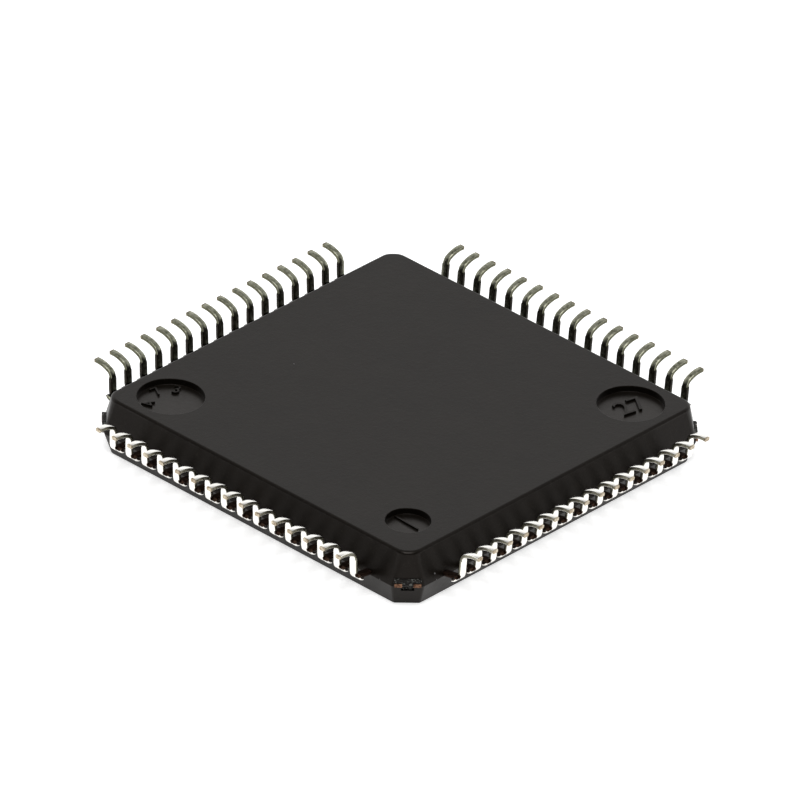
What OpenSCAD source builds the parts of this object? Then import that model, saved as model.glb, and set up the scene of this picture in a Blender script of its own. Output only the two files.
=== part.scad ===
// Quad flat pack chip, 64 leads, lying on its marked face with its leads up.
// Millimetres. z = 0 is the surface that the marked face rests on, the origin is
// under the middle of the body, and the rows of leads face +X, -X, +Y and -Y.

/* [Body] */
// Body size across two sides, at the parting line
body_w = 10; // [9.6:0.1:10.6]
// Body thickness between the marked face and the underside
body_t = 1.36; // [1.3:0.02:1.6]
// Height of the parting line above the marked face
parting_z = 0.56; // [0.5:0.02:0.62]
// How far each side leans in from the parting line to the marked face
marked_draft = 0.165; // [0.05:0.005:0.25]
// How far each side leans in from the parting line to the underside
under_draft = 0.24; // [0.1:0.01:0.35]
// Corner cut along each side, at the parting line
corner_cut = 0.5; // [0.4:0.02:0.7]
// How much shorter the corner cut is at the two flat faces
corner_taper = 0.09; // [0:0.01:0.2]

/* [Mould marks] */
// Diameter of the two large ejector recesses in the underside
ejector_d = 1.56; // [1:0.02:1.8]
// Diameter of the small ejector recess in the underside
small_ejector_d = 1.04; // [0.6:0.02:1.4]
// Distance of each ejector recess from the centre lines
ejector_pos = 3.69; // [3:0.01:3.8]
// Depth of the ejector recesses
ejector_depth = 0.15; // [0.05:0.01:0.25]
// Diameter of the dimple that marks lead 1, in the marked face
dimple_d = 0.9; // [0.5:0.05:1.4]
// Depth of the dimple
dimple_depth = 0.05; // [0.02:0.01:0.1]
// Distance of the dimple from the centre lines
dimple_pos = 3.9; // [3.2:0.05:4]
// How far the trimmed land stands out at each corner
land_out = 0.05; // [0.02:0.01:0.1]
// How far the land reaches to each side of the tie bar's legs
land_margin = 0.01; // [0.01:0.01:0.05]
// Height of the trimmed land above the parting line
land_h = 0.18; // [0.1:0.01:0.3]
// Width of the bite that the broken gate leaves below the parting line
gate_w = 0.3; // [0.1:0.02:0.5]
// Height of that bite
gate_h = 0.14; // [0.05:0.01:0.2]
// Depth of that bite
gate_depth = 0.08; // [0.04:0.01:0.15]

/* [Leads] */
// Leads on each side
leads_per_side = 16; // [16:4:16]
// Distance between the centres of neighbouring leads
pitch = 0.5; // [0.46:0.01:0.52]
// Thickness of the lead frame
frame_t = 0.09; // [0.07:0.01:0.12]
// Width of a lead from the body up to its heel
lead_w = 0.18; // [0.14:0.01:0.24]
// Width of the foot
foot_w = 0.14; // [0.1:0.01:0.18]
// Distance over the tips of the leads on two opposite sides
tip_span = 12; // [11.9:0.05:12.2]
// Slope of the shoulder as it leaves the body, in degrees
shoulder_slope = 8; // [0:1:12]
// Length of the shoulder from the body to its bend
shoulder_len = 0.33; // [0.25:0.01:0.36]
// Radius of the shoulder bend, at mid thickness
shoulder_r = 0.15; // [0.1:0.01:0.18]
// Lean of the riser away from the body, in degrees
riser_lean = 3; // [0:1:5]
// Height at which the riser ends and the heel starts
riser_top = 1.175; // [1.1:0.005:1.25]
// Radius of the heel, at mid thickness
heel_r = 0.17; // [0.12:0.01:0.2]
// Slope at which the heel runs into the foot, in degrees
heel_exit = 30; // [20:1:40]
// Slope at which the gently bowed foot dips again at its tip, in degrees
toe_dip = 6.6; // [0:0.2:12]
// How far the stub of the cut dam bar stands out beside a lead
stub_w = 0.13; // [0.04:0.01:0.16]
// Height at which that stub ends on the riser
stub_top = 0.83; // [0.78:0.01:0.9]

/* [Lead frame inside the body] */
// Width of a finger inside the body
finger_w = 0.22; // [0.16:0.01:0.26]
// Width of the inner tip of a finger
finger_tip_w = 0.15; // [0.1:0.01:0.18]
// Distance between the inner tips of neighbouring fingers
tip_pitch = 0.27; // [0.24:0.01:0.28]
// Distance of the inner tips from the centre lines
tip_pos = 2.6; // [2.5:0.05:2.9]
// Distance at which the fingers turn towards the die
fan_pos = 4.3; // [4.1:0.05:4.4]
// Distance at which a finger steps down to the width of its lead
step_pos = 4.72; // [4.6:0.02:4.85]
// Side of the die paddle
paddle_w = 4.4; // [4:0.1:4.6]
// How much nearer the underside the paddle is set than the leads
paddle_set = 0.18; // [0.15:0.01:0.3]
// Length of the level part of a tie bar beside the paddle's corner
tie_neck = 0.15; // [0.1:0.01:0.3]
// Length of the slope of a tie bar between the paddle and the leads
tie_slope = 0.3; // [0.25:0.01:0.5]
// Width of a tie bar
tie_w = 0.28; // [0.2:0.01:0.3]
// Width of each leg of a forked tie bar
leg_w = 0.17; // [0.1:0.01:0.18]
// Distance of each leg from the diagonal
leg_pos = 0.215; // [0.2:0.005:0.22]
// Length of the legs inside the cut corner of the body
leg_len = 0.62; // [0.5:0.01:0.8]

/* [Die and wires] */
// Side of the silicon die
die_w = 3.2; // [2.8:0.1:3.6]
// Thickness of the silicon die
die_t = 0.3; // [0.2:0.01:0.32]
// Thickness of the adhesive under the die
attach_t = 0.02; // [0.01:0.005:0.03]
// Distance of the bond pads from the edge of the die
pad_inset = 0.1; // [0.06:0.01:0.2]
// Thickness of a bond wire
wire_t = 0.03; // [0.02:0.005:0.04]
// Height of a wire's loop over the die
loop_h = 0.15; // [0.1:0.01:0.18]
// Length of the end of a wire that is pressed flat on a finger
stitch_len = 0.08; // [0.05:0.01:0.12]
// Distance from a finger's inner tip to the end of its wire
stitch_pos = 0.12; // [0.1:0.01:0.2]
// Diameter of the ball at the start of a wire
ball_d = 0.07; // [0.05:0.01:0.08]
// Height of the ball
ball_t = 0.015; // [0.01:0.005:0.03]

/* [Hidden] */
leads_per_node = 4;
groups = 4 * leads_per_side / leads_per_node;
bend_steps = 5;                       // flats round each bend of a lead
round_fn = 96;                        // smoothness of the round mould marks
ball_fn = 8;                          // sides of the ball of a wire
past = 0.1;                           // how far a cut runs past the face that it cuts
bury = 0.3;                           // how far the land reaches back into the body
loop_share = 0.3;                     // share of its length that a wire runs level

half_w = body_w / 2;
marked_half = half_w - marked_draft;
under_half = half_w - under_draft;
flat_cut = corner_cut - corner_taper; // corner cut at the two flat faces
corner_d = (body_w - corner_cut) / sqrt(2); // from the centre to a corner's face
land_face = corner_d + land_out;
land_w = 2 * leg_pos + leg_w + 2 * land_margin;

frame_mid = parting_z + frame_t / 2;
paddle_z = parting_z + paddle_set;
attach_z = paddle_z - attach_t;
die_z = attach_z - die_t;             // the wired face of the die looks down
die_half = die_w / 2;
pad_pitch = (die_w - 4 * pad_inset) / (leads_per_side - 1);
wire_start = die_half - pad_inset;
wire_end = tip_pos + stitch_pos;
loop_z = die_z - loop_h + wire_t / 2; // middle of the level part of a wire
tie_turn = paddle_w / sqrt(2) + tie_neck;
fork_d = corner_d - leg_len;          // where a tie bar forks

// Place along its side of lead k, or of what belongs to it, at the given step.
function place(k, step) = ((leads_per_side - 1) / 2 - k) * step;

// The dam bar's punch ran off centre, so the stubs point to -X on the rows along
// X, and to -Y on the rows along Y. This is their direction on side s.
function stub_dir(s) = s == 1 || s == 2 ? -1 : 1;

function two(n) = n < 10 ? str("0", n) : str(n);
function side_of(g) = floor(g * leads_per_node / leads_per_side);
function group_name(what, g) =
    str(what, "_", two(g * leads_per_node + 1), "_", two((g + 1) * leads_per_node));

// Points of an arc that starts at p heading a0 and turns to heading a1, in degrees.
function arc(p, a0, a1, r) = [
    for (i = [1:bend_steps]) let (
        a = a0 + (a1 - a0) * i / bend_steps,
        s = a1 > a0 ? r : -r
    ) [p[0] + s * (sin(a) - sin(a0)), p[1] - s * (cos(a) - cos(a0))]
];

// The middle line of a formed lead, in the plane of its outward axis and z.
riser_head = 90 - riser_lean;
shoulder = [
    [step_pos, frame_mid],
    [half_w, frame_mid],
    [half_w + shoulder_len, frame_mid + shoulder_len * tan(shoulder_slope)]
];
shoulder_bend = arc(shoulder[2], shoulder_slope, riser_head, shoulder_r);
riser_foot = shoulder_bend[bend_steps - 1];
riser_end = [riser_foot[0] + (riser_top - riser_foot[1]) * tan(riser_lean), riser_top];
heel = arc(riser_end, riser_head, heel_exit, heel_r);
heel_end = heel[bend_steps - 1];
foot_r = (tip_span / 2 - heel_end[0]) / (sin(heel_exit) + sin(toe_dip));
foot = arc(heel_end, heel_exit, -toe_dip, foot_r);
stub_end = [riser_foot[0] + (stub_top - riser_foot[1]) * tan(riser_lean), stub_top];

// The point at distance d to the left of a line's point i, on the mitre there.
function unit(v) = v / norm(v);
function before(line, i) = unit(line[max(i, 1)] - line[max(i, 1) - 1]);
function after(line, i) = before(line, min(i + 1, len(line) - 1));
function mitre(a, b) = (a + b) / (1 + a * b);
function beside(line, i, d) = let (m = mitre(before(line, i), after(line, i)))
    line[i] + d * [-m[1], m[0]];

// A strip of thickness t along a line of points.
function strip(line, t) = concat(
    [for (i = [0:len(line) - 1]) beside(line, i, t / 2)],
    [for (i = [len(line) - 1:-1:0]) beside(line, i, -t / 2)]
);

// Extrudes an outline in the outward-and-z plane to width w, from side offset v.
module sideways(points, v, w)
    translate([0, v + w / 2, 0]) rotate([90, 0, 0]) linear_extrude(w) polygon(points);

// Turns side 0, whose outward axis is +Y, to side s, clockwise as seen from above.
module on_side(s) rotate([0, 0, 90 - 90 * s]) children();

// Outline of the body cut by a plane through its axis: half sizes at z = 0,
// at the parting line and at the underside.
function section(marked, parting, under) = [
    [-marked, 0], [marked, 0], [parting, parting_z],
    [under, body_t], [-under, body_t], [-parting, parting_z]
];

module body_block() intersection_for (turn = [0, 90]) rotate([0, 0, turn]) intersection() {
    sideways(section(marked_half, half_w, under_half), 0, 2 * body_w);
    rotate([0, 0, 45]) sideways(corner_section(), 0, 2 * body_w);
}

function corner_section() = section(
    (2 * marked_half - flat_cut) / sqrt(2),
    corner_d,
    (2 * under_half - flat_cut) / sqrt(2)
);

// The land at a corner, where the mould was trimmed from the frame.
module corner_land(s)
    rotate([0, 0, 45 + 90 * s])
        translate([land_face - bury, -land_w / 2, parting_z])
            cube([bury, land_w, land_h]);

module gate_bite()
    rotate([0, 0, 225])
        translate([corner_d - gate_depth, -gate_w / 2, parting_z - gate_h])
            cube([gate_depth + past, gate_w, gate_h]);

module ejector_recess(x, y, d)
    translate([x, y, body_t - ejector_depth])
        cylinder(h = ejector_depth + past, d = d, $fn = round_fn);

module dimple()
    translate([-dimple_pos, dimple_pos, -past])
        cylinder(h = dimple_depth + past, d = dimple_d, $fn = round_fn);

module mould_body() color([0.235, 0.22, 0.215]) difference() {
    union() {
        body_block();
        for (s = [0:3]) corner_land(s);
    }
    gate_bite();
    ejector_recess(-ejector_pos, ejector_pos, ejector_d);
    ejector_recess(ejector_pos, -ejector_pos, ejector_d);
    ejector_recess(-ejector_pos, -ejector_pos, small_ejector_d);
    dimple();
    paddle_shape();
    attach_shape();
    die_shape();
    for (s = [0:3]) on_side(s) for (k = [0:leads_per_side - 1]) {
        finger(k, half_w + past);
        wire(k);
    }
}

// The part of a lead inside the body, out to the given distance.
module finger(k, reach) {
    inner = place(k, tip_pitch);
    outer = place(k, pitch);
    right = [
        [tip_pos, inner + finger_tip_w / 2],
        [fan_pos, outer + finger_w / 2],
        [step_pos, outer + finger_w / 2],
        [step_pos, outer + lead_w / 2],
        [reach, outer + lead_w / 2]
    ];
    left = [
        [reach, outer - lead_w / 2],
        [step_pos, outer - lead_w / 2],
        [step_pos, outer - finger_w / 2],
        [fan_pos, outer - finger_w / 2],
        [tip_pos, inner - finger_tip_w / 2]
    ];
    translate([0, 0, parting_z]) linear_extrude(frame_t) polygon(concat(right, left));
}

module lead(k, s) {
    v = place(k, pitch);
    stub_v = v + stub_dir(s) * (lead_w + stub_w) / 2;
    finger(k, half_w);
    sideways(strip(concat(shoulder, shoulder_bend, [riser_end]), frame_t), v, lead_w);
    sideways(strip(concat([riser_end], heel, foot), frame_t), v, foot_w);
    sideways(strip(concat([shoulder[2]], shoulder_bend, [stub_end]), frame_t), stub_v, stub_w);
}

module lead_group(g) {
    s = side_of(g);
    color([0.80, 0.79, 0.74]) on_side(s)
        for (k = [0:leads_per_node - 1]) lead((g * leads_per_node + k) % leads_per_side, s);
}

// A wire loops down from its ball on the die and up to the tip of a finger.
module wire(k) {
    fan = (wire_end - tip_pos) / (fan_pos - tip_pos);
    start = [wire_start, place(k, pad_pitch)];
    end = [wire_end, place(k, tip_pitch + (pitch - tip_pitch) * fan)];
    run = end - start;
    span = norm(run);
    loop = [
        [0, die_z],
        [0, loop_z],
        [loop_share * span, loop_z],
        [span - stitch_len, parting_z - wire_t / 2],
        [span, parting_z - wire_t / 2]
    ];
    translate([start[0], start[1], 0]) rotate([0, 0, atan2(run[1], run[0])]) {
        sideways(strip(loop, wire_t), 0, wire_t);
        translate([0, 0, die_z - ball_t]) cylinder(h = ball_t, d = ball_d, $fn = ball_fn);
    }
}

module wire_group(g) color([0.90, 0.72, 0.30]) on_side(side_of(g))
    for (k = [0:leads_per_node - 1]) wire((g * leads_per_node + k) % leads_per_side);

// The paddle with its four tie bars, which slope to the frame and fork at the corner.
module paddle_shape() {
    translate([-paddle_w / 2, -paddle_w / 2, paddle_z]) cube([paddle_w, paddle_w, frame_t]);
    for (s = [0:3]) rotate([0, 0, 45 + 90 * s]) {
        sideways(strip([
            [paddle_w / 2, paddle_z + frame_t / 2],
            [tie_turn, paddle_z + frame_t / 2],
            [tie_turn + tie_slope, frame_mid],
            [fork_d, frame_mid]
        ], frame_t), 0, tie_w);
        translate([fork_d - leg_w, -leg_pos - leg_w / 2, parting_z])
            cube([leg_w, 2 * leg_pos + leg_w, frame_t]);
        for (side = [-1, 1])
            translate([fork_d - leg_w, side * leg_pos - leg_w / 2, parting_z])
                cube([land_face - fork_d + leg_w, leg_w, frame_t]);
    }
}

module attach_shape()
    translate([-die_half, -die_half, attach_z]) cube([die_w, die_w, attach_t]);

module die_shape()
    translate([-die_half, -die_half, die_z]) cube([die_w, die_w, die_t]);

module die_paddle() color([0.72, 0.45, 0.28]) paddle_shape();
module die_attach() color([0.62, 0.62, 0.60]) attach_shape();
module silicon_die() color([0.30, 0.32, 0.36]) die_shape();

mould_body();
die_paddle();
die_attach();
silicon_die();
for (g = [0:groups - 1])
    lead_group(g);
for (g = [0:groups - 1])
    wire_group(g);
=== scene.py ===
# Quad flat pack chip lying on its marked face, with its leads up.
# Sizes below are in millimetres and turned into metres where a mesh is made.
import math
import random

import bmesh
import bpy
from mathutils import Matrix, Vector, noise


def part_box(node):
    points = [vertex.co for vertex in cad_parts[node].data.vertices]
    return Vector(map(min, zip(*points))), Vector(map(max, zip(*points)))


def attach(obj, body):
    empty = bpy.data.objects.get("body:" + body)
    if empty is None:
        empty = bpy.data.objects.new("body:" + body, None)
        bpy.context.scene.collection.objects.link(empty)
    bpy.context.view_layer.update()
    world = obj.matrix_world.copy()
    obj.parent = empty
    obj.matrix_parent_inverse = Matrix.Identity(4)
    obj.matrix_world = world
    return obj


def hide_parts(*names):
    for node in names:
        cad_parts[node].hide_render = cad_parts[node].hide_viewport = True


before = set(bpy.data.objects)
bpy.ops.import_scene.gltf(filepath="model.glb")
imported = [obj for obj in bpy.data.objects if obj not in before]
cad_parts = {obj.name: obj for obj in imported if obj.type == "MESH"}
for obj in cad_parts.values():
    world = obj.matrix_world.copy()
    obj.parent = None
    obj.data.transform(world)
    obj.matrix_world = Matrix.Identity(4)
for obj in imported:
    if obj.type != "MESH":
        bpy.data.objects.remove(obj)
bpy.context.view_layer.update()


# --- Mould body ---------------------------------------------------------------
# One block of black epoxy compound, cast round the lead frame in a steel mould.
# Both halves lean in from the parting line so that it comes out of the mould, and
# ejector pins left three round recesses in the underside, which faces up here.
MM = 0.001
HALF = 5.0
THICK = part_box("mould_body")[1][2] / MM
PARTING = 0.56
MARKED_HALF = HALF - 0.165
UNDER_HALF = HALF - 0.24
CUT = 0.5
MARKED_CUT = 0.41
UNDER_CUT = 0.22
SIDE_ROUND = 0.10
UNDER_SIDE_ROUND = 0.32
RIM_ROUND = 0.07
FOOT_ROUND = 0.05
PIT_DEPTH = 0.15
PITS = {"left": (-3.69, 3.69, 0.78), "right": (3.69, -3.69, 0.78), "front": (-3.66, -3.69, 0.52)}
DIMPLE = (-3.9, 3.9, 0.45)
DIMPLE_DEPTH = 0.05
CORNER_FACE = (2 * HALF - CUT) / math.sqrt(2)
LAND_FACE = CORNER_FACE + 0.05
LAND_BACK = LAND_FACE - 0.3
LAND_W = 0.62
LAND_H = 0.18
BITE_W = 0.3
BITE_H = 0.14
BITE_DEPTH = 0.08
BITE_REACH = 0.3
FRONT_CORNER = 225
# Faces of more square millimetres than this are flat, and the rest are rounded.
FLAT_AREA = 0.15


def cut_square(half, cut, radius, steps=5):
    """Points of a square with cut corners, anticlockwise, each corner rounded."""
    corners = []
    for quarter in range(4):
        turn = Matrix.Rotation(quarter * math.pi / 2, 2)
        corners.append(turn @ Vector((half, cut - half)))
        corners.append(turn @ Vector((half, half - cut)))
    reach = radius * math.tan(math.pi / 8)
    points = []
    for i, corner in enumerate(corners):
        start = corner + (corners[i - 1] - corner).normalized() * reach
        end = corner + (corners[(i + 1) % 8] - corner).normalized() * reach
        for k in range(steps + 1):
            t = k / steps
            points.append(start.lerp(corner, t).lerp(corner.lerp(end, t), t))
    return points


def ring(bm, points, z):
    return [bm.verts.new((p.x * MM, p.y * MM, z * MM)) for p in points]


def circle(x, y, radius, count=72):
    turns = [2 * math.pi * k / count for k in range(count)]
    return [Vector((x + radius * math.cos(a), y + radius * math.sin(a))) for a in turns]


def bridge(bm, low, high):
    """Faces between two closed rings of as many points."""
    for i in range(len(low)):
        j = (i + 1) % len(low)
        bm.faces.new((low[i], low[j], high[j], high[i]))


def flat_with_holes(bm, loops, up):
    """Fills the plane between an outer ring and the rings of its holes."""
    edges = []
    for loop in loops:
        for i, vert in enumerate(loop):
            pair = (vert, loop[(i + 1) % len(loop)])
            edges.append(bm.edges.get(pair) or bm.edges.new(pair))
    bmesh.ops.triangle_fill(bm, use_beauty=True, use_dissolve=False, edges=edges, normal=(0, 0, up))


def pit(bm, x, y, radius, depth, face_z, down, rim=0.012, root=0.008):
    """A round recess with a rounded rim and root. Returns its ring on the face."""
    profile = []
    for k in range(4):
        a = k / 3 * math.pi / 2
        profile.append((radius + rim * (1 - math.sin(a)), rim * (1 - math.cos(a))))
    for k in range(5):
        a = k / 4 * math.pi / 2
        profile.append((radius - root * (1 - math.cos(a)), depth - root * (1 - math.sin(a))))
    rings = [ring(bm, circle(x, y, r), face_z + down * d) for r, d in profile]
    for upper, lower in zip(rings, rings[1:]):
        bridge(bm, upper, lower)
    bm.faces.new(rings[-1]).material_index = 2
    return rings[0]


def side_profile():
    """(z, half size, corner cut, corner radius) from the marked face up."""
    rows = []
    for k in range(5):
        a = k / 4 * math.pi / 2
        inset = FOOT_ROUND * (1 - math.sin(a))
        rows.append((FOOT_ROUND * (1 - math.cos(a)), MARKED_HALF - inset, MARKED_CUT, SIDE_ROUND))
    rows.append((PARTING, HALF, CUT, SIDE_ROUND))
    for k in range(7):
        a = k / 6 * math.pi / 2
        inset = RIM_ROUND * (1 - math.cos(a))
        height = THICK - RIM_ROUND * (1 - math.sin(a))
        rows.append((height, UNDER_HALF - inset, UNDER_CUT, UNDER_SIDE_ROUND))
    return rows


def cut_away(piece, tool):
    """Takes the tool's shape out of a piece, with the tool's finish on the cut."""
    modifier = piece.modifiers.new("cut", "BOOLEAN")
    modifier.object = tool
    modifier.operation = "DIFFERENCE"
    modifier.solver = "EXACT"
    modifier.material_mode = "TRANSFER"
    ready = piece.evaluated_get(bpy.context.evaluated_depsgraph_get())
    mesh = bpy.data.meshes.new_from_object(ready)
    piece.modifiers.clear()
    piece.data = mesh
    bpy.data.objects.remove(tool)


def finish_piece(name, bm, materials, smooth=30):
    """Turns a mesh into a piece of the chip that rides on its body."""
    bmesh.ops.recalc_face_normals(bm, faces=bm.faces)
    mesh = bpy.data.meshes.new(name)
    bm.to_mesh(mesh)
    bm.free()
    mesh.polygons.foreach_set("use_smooth", [True] * len(mesh.polygons))
    mesh.set_sharp_from_angle(angle=math.radians(smooth))
    for material in materials:
        mesh.materials.append(material)
    piece = bpy.data.objects.new(name, mesh)
    bpy.context.collection.objects.link(piece)
    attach(piece, "root")
    return piece


class Finish:
    """A node material with one Principled shader, and short ways to add nodes."""

    def __init__(self, name, **sockets):
        self.material = bpy.data.materials.new(name)
        self.material.use_nodes = True
        self.tree = self.material.node_tree
        self.shader = self.tree.nodes["Principled BSDF"]
        for socket, value in sockets.items():
            self.shader.inputs[socket.replace("_", " ")].default_value = value
        self.place = self.tree.nodes.new("ShaderNodeTexCoord").outputs["Object"]

    def link(self, source, target):
        self.tree.links.new(source, target)

    def grain(self, size, detail=2.0, stretch=(1, 1, 1)):
        """Noise whose features are about size millimetres across."""
        mapping = self.tree.nodes.new("ShaderNodeMapping")
        mapping.inputs["Scale"].default_value = stretch
        self.link(self.place, mapping.inputs["Vector"])
        node = self.tree.nodes.new("ShaderNodeTexNoise")
        node.inputs["Scale"].default_value = 1 / (size * MM)
        node.inputs["Detail"].default_value = detail
        self.link(mapping.outputs["Vector"], node.inputs["Vector"])
        return node.outputs["Fac"]

    def ramp(self, factor, *stops):
        """Colour ramp with stops of (position, colour)."""
        node = self.tree.nodes.new("ShaderNodeValToRGB")
        elements = node.color_ramp.elements
        while len(elements) < len(stops):
            elements.new(0.5)
        for element, (position, colour) in zip(elements, stops):
            element.position = position
            element.color = (*colour, 1)
        self.link(factor, node.inputs["Fac"])
        return node.outputs["Color"]

    def mix(self, factor, a, b, blend="MIX"):
        node = self.tree.nodes.new("ShaderNodeMix")
        node.data_type = "RGBA"
        node.blend_type = blend
        for value, socket in ((factor, 0), (a, 6), (b, 7)):
            if isinstance(value, bpy.types.NodeSocket):
                self.link(value, node.inputs[socket])
            else:
                node.inputs[socket].default_value = value
        return node.outputs[2]

    def span(self, factor, low, high, start=0.0, end=1.0):
        node = self.tree.nodes.new("ShaderNodeMapRange")
        node.inputs["From Min"].default_value = start
        node.inputs["From Max"].default_value = end
        node.inputs["To Min"].default_value = low
        node.inputs["To Max"].default_value = high
        self.link(factor, node.inputs["Value"])
        return node.outputs["Result"]

    def bump(self, height, depth, under=None):
        """Relief of depth micrometres, over the relief given as under."""
        node = self.tree.nodes.new("ShaderNodeBump")
        node.inputs["Distance"].default_value = depth * 1e-6
        self.link(height, node.inputs["Height"])
        if under:
            self.link(under, node.inputs["Normal"])
        self.link(node.outputs["Normal"], self.shader.inputs["Normal"])
        return node.outputs["Normal"]


def grey(value, warm=0.0):
    return (value * (1 + warm), value, value * (1 - warm))


def epoxy(name, shine):
    """Black mould compound: spark-eroded matt skin with fine silica grains in it."""
    f = Finish(name, Specular_IOR_Level=shine, Specular_Tint=(1, 0.9, 0.84, 1))
    cloud = f.ramp(f.grain(0.9, 4), (0.3, grey(0.0025, 0.30)), (0.7, grey(0.004, 0.30)))
    fleck = f.ramp(f.grain(0.035, 1), (0.60, (0, 0, 0)), (0.80, (1, 1, 1)))
    colour = f.mix(fleck, cloud, (0.012, 0.010, 0.008, 1))
    f.link(colour, f.shader.inputs["Base Color"])
    f.link(f.span(f.grain(0.3, 3), 0.27, 0.37), f.shader.inputs["Roughness"])
    coarse = f.bump(f.grain(0.12, 3), 2.0)
    f.bump(f.grain(0.03, 2), 1.2, coarse)
    return f.material


def broken_resin():
    """Mould compound that has snapped off: rough, with pale grains of silica."""
    f = Finish("broken_mould_compound", Specular_IOR_Level=0.2, Roughness=0.6)
    cloud = f.ramp(f.grain(0.10, 3), (0.4, grey(0.004, 0.2)), (0.6, grey(0.014, 0.1)))
    fleck = f.ramp(f.grain(0.05, 1), (0.58, (0, 0, 0)), (0.66, (1, 1, 1)))
    f.link(f.mix(fleck, cloud, (0.13, 0.135, 0.125, 1)), f.shader.inputs["Base Color"])
    f.bump(f.grain(0.04, 3), 12)
    return f.material


MOULD = epoxy("black_mould_compound", 0.165)
PIN_FACE = epoxy("mould_compound_under_pins", 0.29)
BROKEN = broken_resin()


def crumbled_block(low, high, turn, rough, seed):
    """A block with an uneven skin, between two corners, turned by degrees.

    rough is how far its skin sinks in at the most, and seed picks the lumps.
    """
    bm = bmesh.new()
    bmesh.ops.create_cube(bm, size=1)
    bmesh.ops.subdivide_edges(bm, edges=bm.edges, cuts=11, use_grid_fill=True)
    size = high - low
    for vert in bm.verts:
        local = low + Vector([(c + 0.5) * s for c, s in zip(vert.co, size)])
        local -= local.normalized() * rough * abs(noise.noise(local * 9 + Vector((seed, 0, 0)))) * 2
        vert.co = local
    bm.transform(Matrix.Rotation(math.radians(turn), 4, "Z") @ Matrix.Scale(MM, 4))
    return bm


def gate_bite():
    """The space that the gate left when it was snapped off the front corner."""
    low = Vector((CORNER_FACE - BITE_DEPTH, -BITE_W / 2, PARTING - BITE_H))
    high = Vector((CORNER_FACE + BITE_REACH, BITE_W / 2, PARTING - 0.002))
    bm = crumbled_block(low, high, FRONT_CORNER, 0.02, 3)
    mesh = bpy.data.meshes.new("gate_bite")
    bm.to_mesh(mesh)
    bm.free()
    mesh.materials.append(BROKEN)
    bite = bpy.data.objects.new("gate_bite", mesh)
    bpy.context.collection.objects.link(bite)
    return bite


def land(corner):
    """Rough resin round the cut ends of a tie bar, level with them."""
    low = Vector((LAND_BACK, -LAND_W / 2, PARTING))
    high = Vector((LAND_FACE, LAND_W / 2, PARTING + LAND_H))
    bm = crumbled_block(low, high, 45 + 90 * corner, 0.05, corner * 7.3)
    finish_piece(f"land_{corner + 1}", bm, [BROKEN], 60)


def mould_body():
    bm = bmesh.new()
    rings = [ring(bm, cut_square(half, cut, radius), z) for z, half, cut, radius in side_profile()]
    for low, high in zip(rings, rings[1:]):
        bridge(bm, low, high)
    pits = [pit(bm, x, y, r, PIT_DEPTH, THICK, -1) for x, y, r in PITS.values()]
    flat_with_holes(bm, [rings[-1]] + pits, 1)
    dimple = pit(bm, *DIMPLE, DIMPLE_DEPTH, 0, 1)
    flat_with_holes(bm, [rings[0], dimple], -1)
    piece = finish_piece("mould", bm, [MOULD, BROKEN, PIN_FACE], 25)
    bite = gate_bite()
    cut_away(piece, bite)
    for polygon in piece.data.polygons:
        if abs(polygon.normal.z) > 0.9995 or polygon.area > FLAT_AREA * MM * MM:
            polygon.use_smooth = False
    return piece


body = mould_body()
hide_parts("mould_body")
for land_corner in range(4):
    land(land_corner)


# --- Numbers in the recesses --------------------------------------------------
# Each ejector pin has a number engraved in its end, so that a fault can be traced
# to its cavity. It leaves low raised strokes on the floor of the recess.
DIGIT_HEIGHT = 0.045


def digits(name, text, size, x, y, turn):
    """Raised strokes of a number, centred at (x, y) and turned by degrees."""
    curve = bpy.data.curves.new(name, "FONT")
    curve.body = text
    curve.size = size * MM
    curve.align_x = "CENTER"
    curve.align_y = "CENTER"
    curve.extrude = DIGIT_HEIGHT * MM
    curve.bevel_depth = 0.006 * MM
    curve.offset = -0.006 * MM
    curve.resolution_u = 6
    text_object = bpy.data.objects.new(name, curve)
    bm = bmesh.new()
    bm.from_mesh(bpy.data.meshes.new_from_object(text_object))
    bpy.data.objects.remove(text_object)
    floor = (THICK - PIT_DEPTH) * MM
    place = Matrix.Translation((x * MM, y * MM, floor)) @ Matrix.Rotation(math.radians(turn), 4, "Z")
    bm.transform(place)
    return finish_piece(name, bm, [MOULD], 40)


digits("cavity_number", "27", 0.78, 3.74, -3.66, -11.7)
for place_number, (digit, angle) in enumerate((("4", 151), ("7", 83), ("3", 29))):
    a = math.radians(angle)
    x = PITS["left"][0] + 0.5 * math.cos(a)
    y = PITS["left"][1] + 0.5 * math.sin(a)
    digits(f"tool_number_{place_number + 1}", digit, 0.46, x, y, angle - 90)


def stroke(name, start, end, width):
    """One straight raised stroke on the floor of a recess."""
    bm = bmesh.new()
    bmesh.ops.create_cube(bm, size=1)
    along = end - start
    middle = (start + end) / 2
    shape = Matrix.Diagonal((along.length * MM, width * MM, DIGIT_HEIGHT * MM, 1))
    floor = (THICK - PIT_DEPTH + DIGIT_HEIGHT / 2) * MM
    turn = Matrix.Rotation(math.atan2(along.y, along.x), 4, "Z")
    bm.transform(Matrix.Translation((middle.x * MM, middle.y * MM, floor)) @ turn @ shape)
    return finish_piece(name, bm, [MOULD], 40)


stroke("pin_number", Vector((-3.603, -3.236)), Vector((-3.631, -3.973)), 0.035)


# --- Dust ---------------------------------------------------------------------
# A few pale grains of dust and flash, caught on the underside and on the sharp
# edge of the parting line near the front corner.
DUST = ((-0.629, 2.763, 1.36, 0.018), (-4.10, -4.955, 0.72, 0.022), (-4.08, -4.985, 0.57, 0.020),
        (-4.985, -4.12, 0.57, 0.020), (-4.985, -3.75, 0.575, 0.015), (-3.8, -4.985, 0.575, 0.014))


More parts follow.
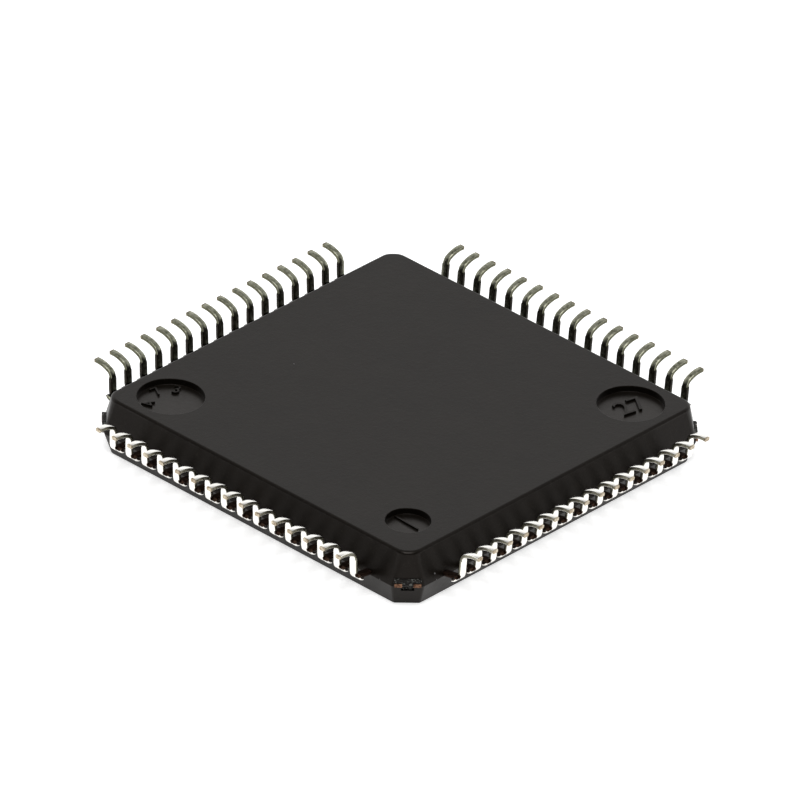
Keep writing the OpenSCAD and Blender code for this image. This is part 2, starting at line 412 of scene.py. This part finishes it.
def dust_finish():
    f = Finish("pale_dust", Roughness=0.8)
    f.link(f.ramp(f.grain(0.02, 2), (0.3, grey(0.05)), (0.7, grey(0.25))), f.shader.inputs["Base Color"])
    f.bump(f.grain(0.01, 2), 4)
    return f.material


PALE_DUST = dust_finish()
for grain_number, (x, y, z, size) in enumerate(DUST):
    grain = bmesh.new()
    bmesh.ops.create_icosphere(grain, subdivisions=2, radius=size * MM)
    for vert in grain.verts:
        vert.co *= 0.8 + 0.4 * noise.noise(vert.co * 6e4 + Vector((grain_number, 0, 0)))
    grain.transform(Matrix.Translation((x * MM, y * MM, z * MM)))
    finish_piece(f"dust_{grain_number + 1}", grain, [PALE_DUST], 60)


# --- Leads --------------------------------------------------------------------
# Sixteen gull-wing leads a side, stamped from copper alloy, bent and tin plated.
# Each is one piece with the finger that the body grips. The stub beside its
# shoulder is what is left of the dam bar, and the tip shows the bare cut copper.
# The two rows away from the camera take darker copies of every finish, which are painted shade, and sit a
# little lower.
PER_SIDE = 16
PITCH = 0.5
FRAME_T = 0.09
LEAD_W = 0.18
FOOT_W = 0.14
TIP = 5.995
LEAD_Z = PARTING + FRAME_T / 2
STEP_POS = 4.72
FAN_POS = 4.3
FINGER_TIP = 2.6
FINGER_W = 0.22
FINGER_TIP_W = 0.15
TIP_PITCH = 0.27
SHOULDER_SLOPE = 8
SHOULDER_LEN = 0.33
SHOULDER_R = 0.15
RISER_LEAN = 3
RISER_TOP = 1.175
HEEL_R = 0.17
HEEL_EXIT = 30
TOE_DIP = 6.6
STUB_W = 0.12
STUB_TOP = 0.75
# Below these heights the shoulder takes the near-black copper finish: bare copper darkened as painted shade
# where the lead meets the body, reaching higher up the sides on the rows away from the camera.
SHOULDER_COPPER_AND_SHADE = 0.78
BACK_COPPER_AND_SHADE = 1.10
EDGE = 0.016
STUB_EDGE = 0.032
NECK = 0.04
TIP_BARE = 0.045
BACK_ROW_DROP = 0.05


def walk(path, length, turn=0.0, steps=1):
    """Goes on along a path of (u, z, heading) by length while turning by degrees."""
    for _ in range(steps):
        u, z, heading = path[-1]
        middle = heading + math.radians(turn) / steps / 2
        u += length / steps * math.cos(middle)
        z += length / steps * math.sin(middle)
        path.append((u, z, heading + math.radians(turn) / steps))


def lead_path(drop, lean):
    """Middle line of a formed lead, from inside the body to the tip of its foot."""
    path = [(STEP_POS, LEAD_Z, 0.0)]
    walk(path, HALF - 0.04 - STEP_POS)
    walk(path, 0.08, SHOULDER_SLOPE, 4)
    walk(path, SHOULDER_LEN - 0.04, 0, 3)
    riser = 90 - RISER_LEAN - lean
    turn = riser - SHOULDER_SLOPE
    walk(path, SHOULDER_R * math.radians(turn), turn, 10)
    rise = (RISER_TOP - drop - path[-1][1]) / math.sin(math.radians(riser))
    walk(path, rise, 0, 8)
    turn = riser - HEEL_EXIT
    walk(path, HEEL_R * math.radians(turn), -turn, 9)
    reach = TIP - path[-1][0]
    radius = reach / (math.sin(math.radians(HEEL_EXIT)) + math.sin(math.radians(TOE_DIP)))
    turn = HEEL_EXIT + TOE_DIP
    walk(path, radius * math.radians(turn), -turn, 12)
    return path


SECTION_STEPS = 3


def rounded_section(width, thick, edge, steps=SECTION_STEPS):
    """(sideways, normal) points of a strip's section with rounded edges."""
    points = []
    for corner in range(4):
        cx = (width / 2 - edge) * (1 if corner in (0, 3) else -1)
        cn = (thick / 2 - edge) * (1 if corner in (0, 1) else -1)
        for k in range(steps):
            a = (corner + k / (steps - 1)) * math.pi / 2
            points.append((cx + edge * math.cos(a), cn + edge * math.sin(a)))
    return points


def smoothstep(t):
    t = min(max(t, 0.0), 1.0)
    return t * t * (3 - 2 * t)


def sweep(bm, stations, side, edge, paint):
    """A strip through stations of (u, v, z, heading, width, thickness).

    paint takes a face's station and its place round the section, which is one of
    "right", "under", "left", "top" and "edge", and gives the finish's number.
    """
    turn = Matrix.Rotation(math.radians(90 - 90 * side), 3, "Z")
    rings = []
    for u, v, z, heading, width, thick in stations:
        normal = Vector((-math.sin(heading), 0, math.cos(heading)))
        points = []
        for sideways, out in rounded_section(width, thick, edge):
            local = Vector((u, v + sideways, z)) + normal * out
            points.append(bm.verts.new(turn @ local * MM))
        rings.append(points)
    count = len(rings[0])
    for station, (low, high) in enumerate(zip(rings, rings[1:])):
        for i in range(count):
            j = (i + 1) % count
            face = bm.faces.new((low[i], low[j], high[j], high[i]))
            flat = i % SECTION_STEPS == SECTION_STEPS - 1
            place = ("top", "left", "under", "right")[i // SECTION_STEPS] if flat else "edge"
            face.material_index = paint(stations[station], place)
    bm.faces.new(rings[0]).material_index = paint(stations[0], "end")
    bm.faces.new(rings[-1]).material_index = paint(stations[-1], "end")


def metal(name, low, high, size, rough, relief):
    """Bare or plated metal whose colour drifts between two tones."""
    f = Finish(name, Metallic=1.0)
    f.link(f.ramp(f.grain(size, 4), (0.3, low), (0.7, high)), f.shader.inputs["Base Color"])
    f.link(f.span(f.grain(size / 2, 3), rough, rough + 0.14), f.shader.inputs["Roughness"])
    f.bump(f.grain(size / 4, 3), relief)
    return f.material


PLATE, SIDE, CUT_END, COPPER_AND_SHADE = range(4)
NEAR_FINISHES = [
    metal("tin_plating", (0.86, 0.84, 0.79), (0.97, 0.96, 0.92), 0.25, 0.12, 1.0),
    metal("stamped_edge", (0.22, 0.21, 0.15), (0.46, 0.44, 0.36), 0.07, 0.28, 2.0),
    metal("cut_copper", (0.26, 0.19, 0.12), (0.66, 0.60, 0.48), 0.07, 0.35, 3.0),
    # Near-black copper: bare copper darkened as painted shade at the shoulder.
    metal("copper_and_painted_shade", (0.022, 0.013, 0.009), (0.085, 0.050, 0.036), 0.12, 0.35, 2.0),
]
# Darker copies of the finishes above for the two rows away from the camera: painted shade on the same
# plating and copper as the near rows.
SHADED_BACK_FINISHES = [
    metal("tin_painted_shade", (0.12, 0.125, 0.08), (0.42, 0.42, 0.33), 0.08, 0.24, 2.5),
    metal("stamped_edge_painted_shade", (0.05, 0.05, 0.03), (0.14, 0.14, 0.09), 0.07, 0.30, 2.0),
    metal("cut_end_painted_shade", (0.12, 0.10, 0.06), (0.30, 0.27, 0.19), 0.06, 0.40, 3.0),
    metal("back_copper_painted_shade", (0.010, 0.009, 0.007), (0.034, 0.029, 0.022), 0.12, 0.35, 2.0),
]


def lead_paint(copper_and_shade_below):
    """Plating on the faces, thin plating on the sides, copper where it was cut. Low on the shoulder it
    gives the near-black copper, which is bare copper darkened as painted shade.
    """

    def paint(station, place):
        u, z = station[0], station[2]
        if place == "end" or u > TIP - TIP_BARE:
            return CUT_END
        if place in ("left", "right", "edge") and z < copper_and_shade_below:
            return COPPER_AND_SHADE
        if place == "top" and z < SHOULDER_COPPER_AND_SHADE:
            return COPPER_AND_SHADE
        return SIDE if place in ("left", "right") else PLATE

    return paint


def stub_paint_with_highlights(station, place):
    """The stub's rounded edges and underside take the bright tin finish as painted highlights round it. Its
    other faces take the near-black copper finish, which is partly painted shade.
    """
    return PLATE if place in ("edge", "under") else COPPER_AND_SHADE


def lead(number, rng):
    """One lead with its stub. Hand forming leaves each a little off the next."""
    side = (number - 1) // PER_SIDE
    k = (number - 1) % PER_SIDE
    row = (PER_SIDE - 1) / 2 - k
    v = row * PITCH
    stub_side = -1 if side in (1, 2) else 1
    near = side in (2, 3)
    drop = (0.0 if near else BACK_ROW_DROP) + rng.uniform(0.003, 0.014)
    path = lead_path(drop, rng.uniform(-0.5, 0.5))
    skew = rng.uniform(-0.012, 0.012)
    bm = bmesh.new()
    stations = [
        (FINGER_TIP, row * TIP_PITCH, LEAD_Z, 0.0, FINGER_TIP_W, FRAME_T),
        (FAN_POS, v, LEAD_Z, 0.0, FINGER_W, FRAME_T),
        (STEP_POS - 0.02, v, LEAD_Z, 0.0, FINGER_W, FRAME_T),
    ]
    for u, z, heading in path:
        narrow = smoothstep((z - (RISER_TOP - drop)) / NECK + 0.5)
        width = LEAD_W + (FOOT_W - LEAD_W) * narrow
        sway = skew * smoothstep((z - 0.8) / 0.6)
        stations.append((u, v + sway, z, heading, width, FRAME_T))
    sweep(bm, stations, side, EDGE, lead_paint(SHOULDER_COPPER_AND_SHADE if near else BACK_COPPER_AND_SHADE))
    shoulder = [p for p in path if p[0] > HALF + SHOULDER_LEN - 0.05 and p[1] < STUB_TOP]
    stub_w = STUB_W + rng.uniform(-0.015, 0.01)
    middle = v + stub_side * (LEAD_W / 2 + stub_w / 2 - EDGE)
    stub = [(u, middle, z, heading, stub_w + 2 * EDGE, FRAME_T * 0.98) for u, z, heading in shoulder]
    # The stub's bright edges are painted highlights.
    sweep(bm, stub, side, STUB_EDGE, stub_paint_with_highlights)
    # The two rows away from the camera take the darker copies, which are painted shade.
    finishes = NEAR_FINISHES if near else SHADED_BACK_FINISHES
    piece = finish_piece(f"lead_{number:02d}", bm, finishes, 40)
    first = 4 * ((number - 1) // 4) + 1
    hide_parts(f"leads_{first:02d}_{first + 3:02d}")


lead_rng = random.Random(64)
for lead_number in range(1, 4 * PER_SIDE + 1):
    lead(lead_number, lead_rng)


# --- Paddle, die and wires ----------------------------------------------------
# Sealed in the body: the copper paddle with its tie bars, the silicon die glued on
# it, and a gold wire from the die to each finger. Only the tie bars' ends show.
def solid_finish(name, low, high, size, metallic, rough):
    """A finish whose colour drifts between two tones over about size millimetres."""
    f = Finish(name, Metallic=metallic)
    f.link(f.ramp(f.grain(size, 3), (0.3, low), (0.7, high)), f.shader.inputs["Base Color"])
    f.link(f.span(f.grain(size / 2, 2), rough - 0.08, rough + 0.08), f.shader.inputs["Roughness"])
    f.bump(f.grain(size / 4, 2), 1.0)
    return f.material


def dress(node_name, material):
    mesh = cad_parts[node_name].data
    mesh.materials.clear()
    mesh.materials.append(material)


dress("die_paddle", solid_finish("copper_alloy", (0.03, 0.014, 0.009), (0.24, 0.13, 0.08), 0.05, 1.0, 0.35))
dress("die_attach", solid_finish("silver_glue", (0.45, 0.44, 0.42), (0.62, 0.61, 0.60), 0.2, 0.3, 0.5))
dress("silicon_die", solid_finish("silicon", (0.10, 0.11, 0.13), (0.16, 0.17, 0.20), 0.5, 0.6, 0.15))
gold = solid_finish("gold_wire", (0.80, 0.56, 0.20), (0.95, 0.74, 0.34), 0.1, 1.0, 0.2)
for node_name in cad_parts:
    if node_name.startswith("wires_"):
        dress(node_name, gold)


# --- Table, light and camera --------------------------------------------------
# A plain white table, a large soft lamp overhead, and a pale room that is dark on
# the camera's side. The table glows a little for the camera and in reflections, so
# it looks white there and still shows the chip's shadow.
TABLE_SIZE = 0.6
TABLE_GLOW = 0.6


def table():
    bm = bmesh.new()
    bmesh.ops.create_grid(bm, x_segments=4, y_segments=4, size=TABLE_SIZE)
    mesh = bpy.data.meshes.new("table")
    bm.to_mesh(mesh)
    bm.free()
    top = bpy.data.objects.new("table", mesh)
    bpy.context.collection.objects.link(top)
    material = bpy.data.materials.new("white_table")
    material.use_nodes = True
    nodes = material.node_tree.nodes
    links = material.node_tree.links
    shader = nodes["Principled BSDF"]
    shader.inputs["Base Color"].default_value = (0.82, 0.82, 0.82, 1)
    shader.inputs["Roughness"].default_value = 0.9
    shader.inputs["Specular IOR Level"].default_value = 0.0
    rays = nodes.new("ShaderNodeLightPath")
    seen = nodes.new("ShaderNodeMath")
    seen.operation = "MAXIMUM"
    links.new(rays.outputs["Is Camera Ray"], seen.inputs[0])
    links.new(rays.outputs["Is Glossy Ray"], seen.inputs[1])
    seen_too = nodes.new("ShaderNodeMath")
    seen_too.operation = "MAXIMUM"
    links.new(seen.outputs[0], seen_too.inputs[0])
    links.new(rays.outputs["Is Transmission Ray"], seen_too.inputs[1])
    glow = nodes.new("ShaderNodeMath")
    glow.operation = "MULTIPLY"
    glow.inputs[1].default_value = TABLE_GLOW
    links.new(seen_too.outputs[0], glow.inputs[0])
    shader.inputs["Emission Color"].default_value = (1, 1, 1, 1)
    links.new(glow.outputs[0], shader.inputs["Emission Strength"])
    mesh.materials.append(material)


table()

AZIMUTH = math.radians(-47.69)
ELEVATION = math.radians(31.13)
ROLL = math.radians(2.28)
DISTANCE = 331.5
LENS = 657.4
AIM_UP = 0.5626
AIM_HEIGHT = THICK / 2 + 0.02

back = Vector((
    math.sin(AZIMUTH) * math.cos(ELEVATION),
    -math.cos(AZIMUTH) * math.cos(ELEVATION),
    math.sin(ELEVATION),
))
level = Vector((math.cos(AZIMUTH), math.sin(AZIMUTH), 0))
upright = back.cross(level)
across = level * math.cos(ROLL) + upright * math.sin(ROLL)
upward = upright * math.cos(ROLL) - level * math.sin(ROLL)
aim = Vector((0, 0, AIM_HEIGHT)) + upward * AIM_UP
spot = (aim + back * DISTANCE) * MM
camera_data = bpy.data.cameras.new("camera")
camera_data.lens = LENS
camera_data.sensor_width = 36
camera_data.clip_start = 0.001
camera_data.clip_end = 10
camera = bpy.data.objects.new("camera", camera_data)
camera.matrix_world = Matrix((
    (across.x, upward.x, back.x, spot.x),
    (across.y, upward.y, back.y, spot.y),
    (across.z, upward.z, back.z, spot.z),
    (0, 0, 0, 1),
))
bpy.context.collection.objects.link(camera)
bpy.context.scene.camera = camera


def softbox(name, azimuth, elevation, distance, size, power):
    """A square lamp that faces the chip from the given side."""
    a = math.radians(azimuth)
    e = math.radians(elevation)
    direction = Vector((math.sin(a) * math.cos(e), -math.cos(a) * math.cos(e), math.sin(e)))
    data = bpy.data.lights.new(name, "AREA")
    data.size = size
    data.energy = power
    lamp = bpy.data.objects.new(name, data)
    lamp.location = direction * distance
    lamp.rotation_euler = direction.to_track_quat("Z", "Y").to_euler()
    bpy.context.collection.objects.link(lamp)


softbox("top_lamp", -47, 72, 0.5, 0.3, 1.6)


def room():
    """Pale low down behind the chip, greyer overhead, and dark on the camera's side."""
    world = bpy.data.worlds.new("room")
    world.use_nodes = True
    bpy.context.scene.world = world
    nodes = world.node_tree.nodes
    links = world.node_tree.links
    direction = nodes.new("ShaderNodeTexCoord").outputs["Generated"]
    axes = nodes.new("ShaderNodeSeparateXYZ")
    links.new(direction, axes.inputs[0])

    def by_height(*stops):
        """Light by the sine of the height in the sky, from (sine, light) stops."""
        ramp = nodes.new("ShaderNodeValToRGB")
        elements = ramp.color_ramp.elements
        while len(elements) < len(stops):
            elements.new(0.5)
        for element, (height, light) in zip(elements, stops):
            element.position = height
            element.color = (light, light, light, 1)
        links.new(axes.outputs["Z"], ramp.inputs["Fac"])
        return ramp.outputs["Color"]

    front = by_height((0.0, 0.5), (0.02, 0.05), (0.60, 0.08), (0.85, 0.35))
    rear = by_height((0.36, 1.15), (0.50, 1.10), (0.72, 0.60), (0.85, 0.35))
    away = nodes.new("ShaderNodeVectorMath")
    away.operation = "DOT_PRODUCT"
    away.inputs[1].default_value = (-math.sin(AZIMUTH), math.cos(AZIMUTH), 0)
    links.new(direction, away.inputs[0])
    blend = nodes.new("ShaderNodeMapRange")
    blend.interpolation_type = "SMOOTHSTEP"
    blend.inputs["From Min"].default_value = -0.25
    blend.inputs["From Max"].default_value = 0.35
    links.new(away.outputs["Value"], blend.inputs["Value"])
    mix = nodes.new("ShaderNodeMix")
    mix.data_type = "RGBA"
    links.new(blend.outputs["Result"], mix.inputs[0])
    links.new(front, mix.inputs[6])
    links.new(rear, mix.inputs[7])
    links.new(mix.outputs[2], nodes["Background"].inputs["Color"])


room()

scene = bpy.context.scene
scene.view_settings.view_transform = "Standard"
